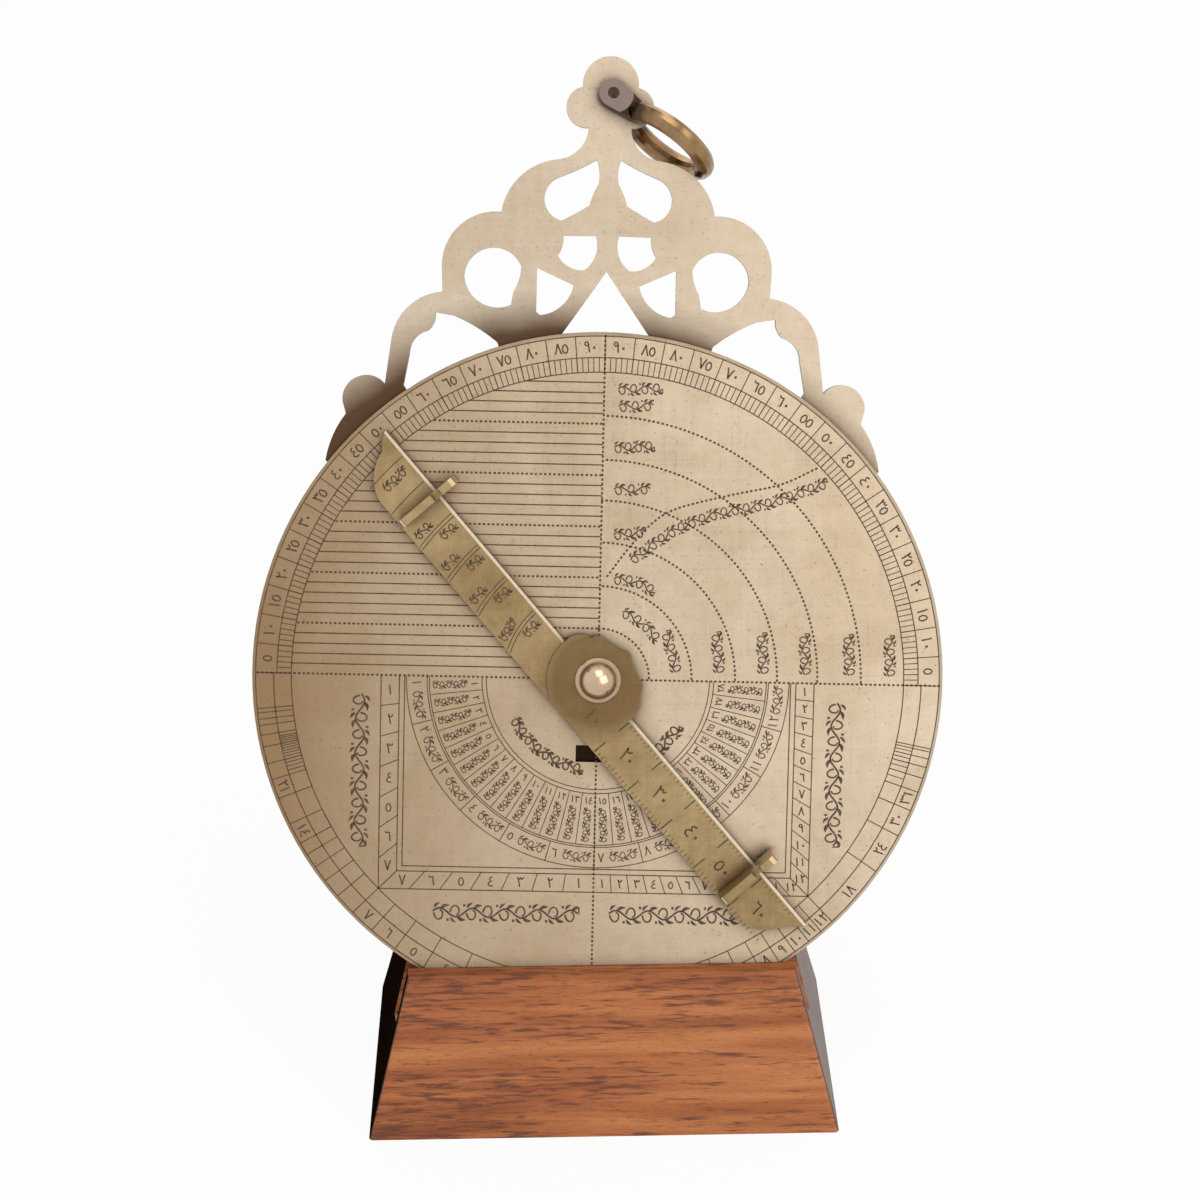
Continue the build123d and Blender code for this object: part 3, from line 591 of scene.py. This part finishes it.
# The quadrant scrolls: plain vine ornament cut into the dorsum freehand with a graver, between the arcs and
# along the noon line.
def vine(line, height, pen=0.26, level=0.0):
    """Scroll ornament along a line: a stem that waves by a sine, at each crest a tendril whose radius
    shrinks over three quarters of a turn, two leaves that swell and taper, and a seed in each gap."""
    total = length_of(line)
    waves = max(1, int(round(total / (0.92 * height))))
    pace = total / waves

    def laid(points):
        """Points given along and above the line, on the face."""
        spot, way, _ = along_line(line, points[..., 0])
        return spot + points[..., 1:] * np.stack([-way[..., 1], way[..., 0]], -1)

    run = np.linspace(0.08 * pace, total - 0.08 * pace, 10 * waves + 1)
    stem = np.stack([run, 0.24 * height * np.sin(np.pi * run / pace)], -1)[None]
    crest = ((np.arange(waves) + 0.5) * pace)[:, None]
    side = np.where(np.arange(waves) % 2 == 0, 1.0, -1.0)[:, None]
    turn = np.linspace(0, 1.5 * np.pi, 11)
    coil = np.linspace(0.32, 0.08, 11) * height
    curls = np.stack([crest - np.cos(turn) * coil, -side * (0.02 * height + np.sin(turn) * coil * 1.5)], -1)
    leaf = flow([(0.04, 0.2), (0.26, 0.38), (0.52, 0.4)], 6) * height
    bud = flow([(-0.3, 0.26), (-0.2, 0.42), (0.0, 0.54)], 6) * height
    leaves = np.stack([crest + leaf[:, 0], side * leaf[:, 1]], -1)
    buds = np.stack([crest + bud[:, 0], side * bud[:, 1]], -1)
    swell = pen * np.array([0.5, 1.3, 1.9, 1.8, 1.1, 0.4])
    parts = [
        strokes(laid(stem), pen, level), strokes(laid(curls), pen * np.linspace(1.0, 0.8, 11), level),
        strokes(laid(leaves), swell, level), strokes(laid(buds), swell * 0.8, level),
    ]
    if waves > 1:
        seed_run = crest[:-1] + 0.5 * pace + height * np.array([-0.06, 0.0, 0.06])
        seeds = np.stack([seed_run, -side[:-1] * 0.4 * height * np.ones(3)], -1)
        parts.append(strokes(laid(seeds), pen * 1.5, level))
    return parts


quadrant_scroll, quadrant_scroll_foot, quadrant_scroll_top = 2.3, 1.5, 9.4
upright_scrolls = [
    [(2.4, 54.4), (10.9, 54.8)], [(2.6, 51.2), (9.4, 51.6)], [(2.0, 43.5), (9.6, 44.0)],
    [(2.0, 35.7), (9.2, 36.0)], [(2.2, 27.2), (8.4, 27.9)],
]
scroll_leans = {14.9: 2.4, 22.9: 0.9, 31.2: 0.6, 39.1: 0.5, 47.4: 0.5, 55.0: 0.4}
level_scrolls = [
    [(foot, quadrant_scroll_foot), (foot - lean, quadrant_scroll_top)] for foot, lean in scroll_leans.items()
]
bent_scrolls = [
    flow([(2.4, 18.9), (6.4, 18.6), (10.4, 16.7)], 12), arc(13.4, 72, 33, 16),
    flow([(5.6, 22.4), (13.6, 28.2), (21.7, 31.6), (31.0, 33.7), (42.2, 37.9)], 60),
]
engraved("quadrant_scrolls", [
    part for line in [*upright_scrolls, *level_scrolls, *bent_scrolls] for part in vine(line, quadrant_scroll)
])


# The shadow square: two joined half squares cut into the lower half of the plate, which turn a height into
# a ratio. The left one is divided by 7 and the right one by 12, along rays from the centre.
square_outer, square_middle, square_inner = 40.73, 37.3, 36.3
number_reach = (square_middle + square_outer) / 2
square_lines = []
for side, steps, height in ((-1, 7, 1.9), (1, 12, 1.6)):
    for reach in (square_outer, square_middle, square_inner):
        corner = (side * reach, -reach)
        square_lines.append(strokes([[(side * reach, 0), corner], [corner, (0, -reach)]]))
    share = np.arange(1, steps + 1) / steps
    halfway = (np.arange(steps) + 0.5) / steps
    edge = np.ones(steps)
    for rays in (np.stack([side * edge, -share], -1), np.stack([side * share, -edge], -1)):
        marks = rays[:, None] * np.array([square_middle, square_outer])[:, None]
        square_lines.append(strokes(marks, cell_cut))
    for spots in (np.stack([side * edge, -halfway], -1), np.stack([side * halfway, -edge], -1)):
        square_lines += numbers(range(1, steps + 1), number_reach * spots, np.zeros(steps), height, pen=0.25)
engraved("shadow_square", square_lines)


# The calendar: half rings below the centre, cut into the plate with cells for 28 stations and 12 parts of
# the year. Each cell has its number and a small scroll.
stations, months = 28, 12
station_inner, station_outer, month_inner, month_outer = 21.8, 31.7, 32.1, 36.0
calendar_inner, station_number = 21.0, 23.2
station_scroll_out, station_scroll_in = 31.2, 24.6
station_middle = 180 + 180 * (np.arange(stations) + 0.5) / stations
station_edge = 180 + 180 * np.arange(1, stations) / stations
month_start = 180 + 180 * np.arange(months) / months
number_turn, scroll_from, scroll_to = 2.2, 4.6, 14.2
month_middle = 34.05
calendar_rings = (calendar_inner, station_inner, station_outer, month_inner, month_outer)
engraved("calendar", [
    *[strokes(arc(radius, 180, 360), cell_cut) for radius in calendar_rings],
    strokes(spokes(station_edge, station_inner, station_outer), tick_cut),
    strokes(spokes(month_start[1:], month_inner, month_outer), cell_cut),
    *numbers(
        range(1, stations + 1), around(station_middle, station_number),
        station_middle + 90, height=1.25, pen=0.2,
    ),
    *numbers(
        range(1, months + 1), around(month_start + number_turn, month_middle),
        month_start + 90 + number_turn, height=1.7, pen=0.22,
    ),
    *[
        part
        for spoke in spokes(station_middle, station_scroll_out, station_scroll_in)
        for part in vine(spoke, height=1.5, pen=0.19)
    ],
    *[
        part
        for start in month_start
        for part in vine(arc(month_middle, start + scroll_from, start + scroll_to, 10), height=2.0, pen=0.21)
    ],
])


# The border scrolls: larger vine ornament of the same kind, cut into the dorsum around the shadow square
# and inside the calendar.
border_pen = 0.34
border_lines = (
    ([(-44.6, -3.4), (-44.6, -32.8)], 3.4), ([(45.0, -3.4), (45.0, -31.2)], 3.4),
    ([(-30.6, -45.1), (-2.6, -45.1)], 3.5), ([(2.8, -45.0), (30.5, -44.8)], 3.5),
    (arc(17.4, 206, 262, 24), 2.3), (arc(17.6, 303, 331, 14), 2.6),
)
engraved("border_scrolls", [part for line, height in border_lines for part in vine(line, height, border_pen)])


# The throne, with the ring that walls the womb: one cast brass plate, drilled, sawn and filed. Brown
# tarnish with painted shade lies where it meets the rim and on its sawn edges; more painted shade darkens
# it at the left.
tarnish_and_shade_from, tarnish_and_shade_ragged, shade_leftward = 62 * mm, 6 * mm, 0.075


def throne_shade(finish, clouds):
    """Share of tarnish with painted shade: most against the rim and at the left, gone a few mm above it."""
    ragged = finish.reckon(clouds, tarnish_and_shade_ragged, "MULTIPLY")
    # The left side takes more of it: painted shade.
    leftward = finish.reckon(finish.along(disc_right, disc_centre), shade_leftward, "MULTIPLY")
    beyond = finish.reckon(finish.distance(disc_centre), ragged, "SUBTRACT")
    above = finish.reckon(finish.reckon(beyond, leftward), -tarnish_and_shade_from)
    return finish.ramp(finish.reckon(above, 100.0, "MULTIPLY"), (0.0, 0.95), (0.45, 0.3), (0.8, 0.0))


sawn_edge_tarnish_and_shade, tarnish_and_shade_colour = rgb(112, 88, 64), rgb(78, 54, 36)
throne_brass = brass(
    "throne_brass", rgb(203, 187, 166), rgb(189, 170, 145), 0.4, sawn_edge_tarnish_and_shade, (tarnish_and_shade_colour, throne_shade)
)
dress(throne_brass.material, "throne_ring")


# The limb: the turned brass ring round the womb, with a full circle of degrees cut into it. Four flush
# slotted screws hold it through the throne ring to the dorsum.
limb_brass = brass("limb_brass", rgb(212, 194, 162), rgb(186, 164, 128), 0.38, rgb(140, 114, 84))
dress(limb_brass.material, "limb_ring")
screw_brass = brass("screw_brass", rgb(200, 178, 136), rgb(160, 134, 94), 0.32)
dress(screw_brass.material, "limb_screws")


def on_back_of(node):
    """A function of place for lines on a solid's back, its lowest level along the disc's axis: right and
    left change places, and out becomes the other way."""
    spots = np.empty(len(frame["nodes"][node].data.vertices) * 3, np.float32)
    frame["nodes"][node].data.vertices.foreach_get("co", spots)
    level = float(((spots.reshape(-1, 3) - disc_centre) @ out_of_face).min() / mm)
    return lambda points: on_disc(points * np.array([-1.0, 1.0, -1.0]) + np.array([0.0, 0.0, level]))


limb_outer, limb_one, limb_five, limb_number, limb_inner = 64.2, 63.3, 62.6, 59.6, 56.4
tens = np.arange(0, 360, 10)
engraved("limb_scale", [
    *[strokes(arc(radius)) for radius in (limb_outer, limb_five, limb_inner)],
    strokes(spokes(np.arange(0, 360), limb_one, limb_outer), tick_cut),
    strokes(spokes(np.arange(0, 360, cell), limb_five, limb_outer), division_cut),
    *numbers(tens, around(90 - tens, limb_number), -tens, height=2.4, pen=0.3),
], place=on_back_of("limb_ring"))


# The latitude plates: thin rolled brass, one on the other in the womb. Through the gaps of the star map the
# uppermost shows circles for one latitude: those of equal height, and those of equal direction whose points
# below the zenith come as one unbroken run. That leaves out the middle three, and rounding at the zenith
# leaves out the one at 30 degrees as well.
plate_brass = brass("plate_brass", rgb(214, 197, 166), rgb(192, 170, 134), 0.34)
dress(plate_brass.material, "latitude_plate_1", "latitude_plate_2", "latitude_plate_3", "latitude_plate_4")
tropic, obliquity, latitude = 52.7, 23.44, 36.0
shrink = math.tan(math.radians((90 - obliquity) / 2))
equator = tropic * shrink
height_step = np.radians(np.arange(0, 90, 6))
rise = math.sin(math.radians(latitude)) + np.sin(height_step)
height_centre = equator * math.cos(math.radians(latitude)) / rise
height_radius = equator * np.cos(height_step) / rise
reach = (height_centre**2 + height_radius**2 - tropic**2) / (2 * height_centre * height_radius)
half_turn = np.degrees(np.arccos(np.clip(reach, -1, 1)))
plate_lines = [
    strokes(arc(radius, -90 - half, -90 + half, 91, (0, centre)), cell_cut)
    for centre, radius, half in zip(height_centre, height_radius, half_turn)
]
plate_lines += [strokes(arc(radius), division_cut) for radius in (tropic, equator, equator * shrink)]
plate_lines.append(strokes([[(-tropic, 0), (tropic, 0)], [(0, -tropic), (0, tropic)]], cell_cut))
zenith = equator * math.tan(math.radians((90 - latitude) / 2))
for bearing in np.radians(np.arange(-75, 76, 15)):
    spread = equator / math.cos(math.radians(latitude))
    middle = (spread * math.tan(bearing), -equator * math.tan(math.radians(latitude)))
    ring = arc(spread / math.cos(bearing), 0, 360, 721, middle)
    above_horizon = np.hypot(ring[:, 0], ring[:, 1] - height_centre[0]) < height_radius[0]
    shown = np.flatnonzero((np.hypot(*ring.T) < tropic) & above_horizon & (ring[:, 1] < zenith))
    if len(shown) > 3 and shown[-1] - shown[0] == len(shown) - 1:
        plate_lines.append(strokes(ring[shown], hair_cut))
engraved("plate_circles", plate_lines, place=on_back_of("latitude_plate_4"))


# The star map: pierced and filed from one thin brass sheet, with its turned knob riveted on. Its ecliptic
# ring is divided every two degrees, and the projection makes the divisions uneven.
rete_brass = brass("rete_brass", rgb(208, 184, 140), rgb(176, 150, 106), 0.3, rgb(120, 94, 62))
dress(rete_brass.material, "rete", "rete_knob")
ecliptic_radius = tropic * (1 + shrink**2) / 2
ecliptic_centre = tropic * (1 - shrink**2) / 2
longitude = np.radians(np.arange(0, 360, 2))
declination = np.arcsin(np.sin(longitude) * math.sin(math.radians(obliquity)))
ascension = np.arctan2(np.sin(longitude) * math.cos(math.radians(obliquity)), np.cos(longitude))
from_pole = equator * np.tan((np.pi / 2 - declination) / 2)
sun_place = np.stack([-from_pole * np.cos(ascension), -from_pole * np.sin(ascension)], -1)
inward = np.array([0, ecliptic_centre]) - sun_place
inward /= np.linalg.norm(inward, axis=1, keepdims=True)
order = np.arange(len(longitude))
tick = np.where(order % 15 == 0, 2.6, np.where(order % 5 == 0, 1.6, 0.9))[:, None]
ticks = np.stack([sun_place + inward * 0.15, sun_place + inward * tick], 1)
engraved("ecliptic_divisions", [
    strokes(ticks, tick_cut), strokes(arc(ecliptic_radius - 1.0, centre=(0, ecliptic_centre)), tick_cut),
], "star_map", on_back_of("rete"))


# The rule: a counterchanged bar of drawn brass with two vanes standing across it. Its straight bevelled
# edge runs through the centre, rubbed bright with a painted highlight on its slopes, and marks are cut along
# both arms. Its hub is painted darker, as painted shade.
def rule_shade(finish, clouds):
    """Share of the bright tone on slopes: the bevelled edge, rubbed bright, with a painted highlight."""
    return finish.ramp(finish.facing(out_of_face), (0.6, 0.0), (0.68, 0.95), (0.74, 0.95), (0.9, 0.0))


rule_brass = brass(
    "rule_brass", rgb(178, 154, 114), rgb(142, 117, 80), 0.3, None, (rgb(236, 222, 196), rule_shade)
)
# Near the pin the rule is painted darker: painted shade on the hub.
from_pin = rule_brass.reckon(rule_brass.distance(disc_centre), 40.0, "MULTIPLY")
rule_brass.paint_over(rule_brass.ramp(from_pin, (0.34, 0.75), (0.5, 0.0)), rgb(108, 82, 50))
dress(rule_brass.material, "alidade", "upper_vane", "lower_vane")
rule_angle = math.radians(131.4)
rule_way = np.array([math.cos(rule_angle), math.sin(rule_angle)])
rule_side = np.array([-rule_way[1], rule_way[0]])
rule_face = 1.8


def on_rule(points):
    """Points in mm along the rule from the pin, across it from the straight edge, and out of the face."""
    flat = points[..., :1] * rule_way + points[..., 1:2] * rule_side
    return on_disc(np.concatenate([flat, points[..., 2:]], -1))


def bowed(radius, near=0.7, far=9.2):
    """Part of a circle about the pin that crosses the rule: along is the root of radius**2 - across**2."""
    across = np.linspace(near, far, 13)
    return np.stack([np.sqrt(radius**2 - across**2), across], -1)


def rule_scroll(radius, near, far, height=1.9):
    """A scroll across the rule at a distance from the pin."""
    return vine(bowed(radius, near, far), height, 0.24, rule_face)


def across_rule(marks, near, far, width):
    """Straight strokes across the rule at many places along it."""
    return strokes([[(mark, near), (mark, far)] for mark in marks], width, rule_face)


long_cut, small_cut = 0.24, 0.12
long_marks = (-9.85, -19.5, -29.2, -38.9, -48.8)
small_marks = -np.arange(9.85, 58.0, 0.97)
number_marks = {10: -4.8, 20: -14.7, 30: -24.5, 40: -33.9, 50: -42.6, 60: -53.3}
number_places = [(mark, 5.1) for mark in number_marks.values()]
single_arcs = (9.75, 49.5, 55.6)
half_gap = 0.35
double_arcs = [radius + half for radius in zodiac_radii[1:5] for half in (-half_gap, half_gap)]
engraved("rule_marks", [
    across_rule(long_marks, 0.75, 3.3, long_cut), across_rule(long_marks, 6.4, 9.2, long_cut),
    across_rule(small_marks, 8.5, 9.25, small_cut), across_rule(small_marks, 0.7, 1.3, small_cut),
    *[strokes(bowed(radius), cell_cut, rule_face) for radius in [*double_arcs, *single_arcs]],
    *numbers(number_marks, number_places, [180] * len(number_marks), height=2.6, pen=0.34, level=rule_face),
    *[
        part
        for radius in zodiac_radii[1:5]
        for part in [*rule_scroll(radius - 1.7, 5.2, 1.2), *rule_scroll(radius + 1.8, 8.8, 4.6)]
    ],
    *rule_scroll(53.4, 7.4, 1.6, height=2.0),
], "rule", on_rule)


# The pin and its collar, turned from brass rod, with the washer and the filed wedge that hold the star map
# at the other end. The domed head is bright where thumbs rub it.
pin_brass = brass("pin_brass", rgb(206, 180, 152), rgb(184, 158, 130), 0.2)
dress(pin_brass.material, "pivot_pin", "head_washer")
wedge_brass = brass("wedge_brass", rgb(206, 184, 142), rgb(166, 140, 98), 0.3, rgb(140, 114, 76))
dress(wedge_brass.material, "horse_washer", "horse")


# The suspension ring: round bronze wire with flattened cheeks, hung on the throne by a rivet. It is nearly
# black, darkest by the rivet as painted shade at the collar, rubbed gold further out, and grey on the flats
# as a painted highlight. The rivet's head is painted nearly black, as painted shade.
rivet = np.array(joints["ring_swing"]["pos_m"])
cheek_way = disc_right * 0.1412 + disc_up * 0.1964 + out_of_face * 0.9703
cheek_reach = 5.2 * mm
cheek_highlight_colour = rgb(104, 92, 86)
bronze = Finish("ring_bronze", metallic=1.0)
patches = bronze.noise(bronze.object_place, 260.0, 4.0, 0.6, 0.5)
from_rivet = bronze.reckon(bronze.distance(rivet), 40.0, "MULTIPLY")
# Close to the rivet the ring stays darkest: painted shade at the collar; further out it is rubbed gold.
beyond_collar_shade = bronze.ramp(from_rivet, (0.24, 0.0), (0.5, 0.45))
rubbed_and_unshaded = bronze.reckon(beyond_collar_shade, bronze.reckon(patches, 0.55, "MULTIPLY"))
bronze.paint(bronze.ramp(rubbed_and_unshaded, (0.22, rgb(38, 26, 19)), (0.5, rgb(84, 62, 42)), (0.8, rgb(158, 128, 92))))
# The flat faces of the cheeks are painted grey: a painted highlight on the dark bronze.
flat_face = bronze.ramp(bronze.facing(cheek_way), (0.975, 0.0), (0.99, 1.0))
at_cheek = bronze.reckon(bronze.distance(rivet), cheek_reach, "LESS_THAN")
bronze.paint_over(bronze.reckon(flat_face, at_cheek, "MULTIPLY"), cheek_highlight_colour)
smoothest, dulled = 0.14, 0.12
ring_haze = bronze.reckon(bronze.reckon(patches, dulled, "MULTIPLY"), smoothest)
bronze.put(ring_haze, bronze.shader.inputs["Roughness"])
dress(bronze.material, "suspension_ring")
# The rivet's head is painted nearly black: painted shade, so that it reads as a hole.
rivet_bronze = Finish("rivet_bronze", metallic=1.0, roughness=0.3)
rivet_clouds = rivet_bronze.noise(rivet_bronze.object_place, 900.0)
rivet_bronze.paint(rivet_bronze.ramp(rivet_clouds, (0.3, rgb(34, 24, 20)), (0.8, rgb(78, 62, 52))))
dress(rivet_bronze.material, "ring_pin")
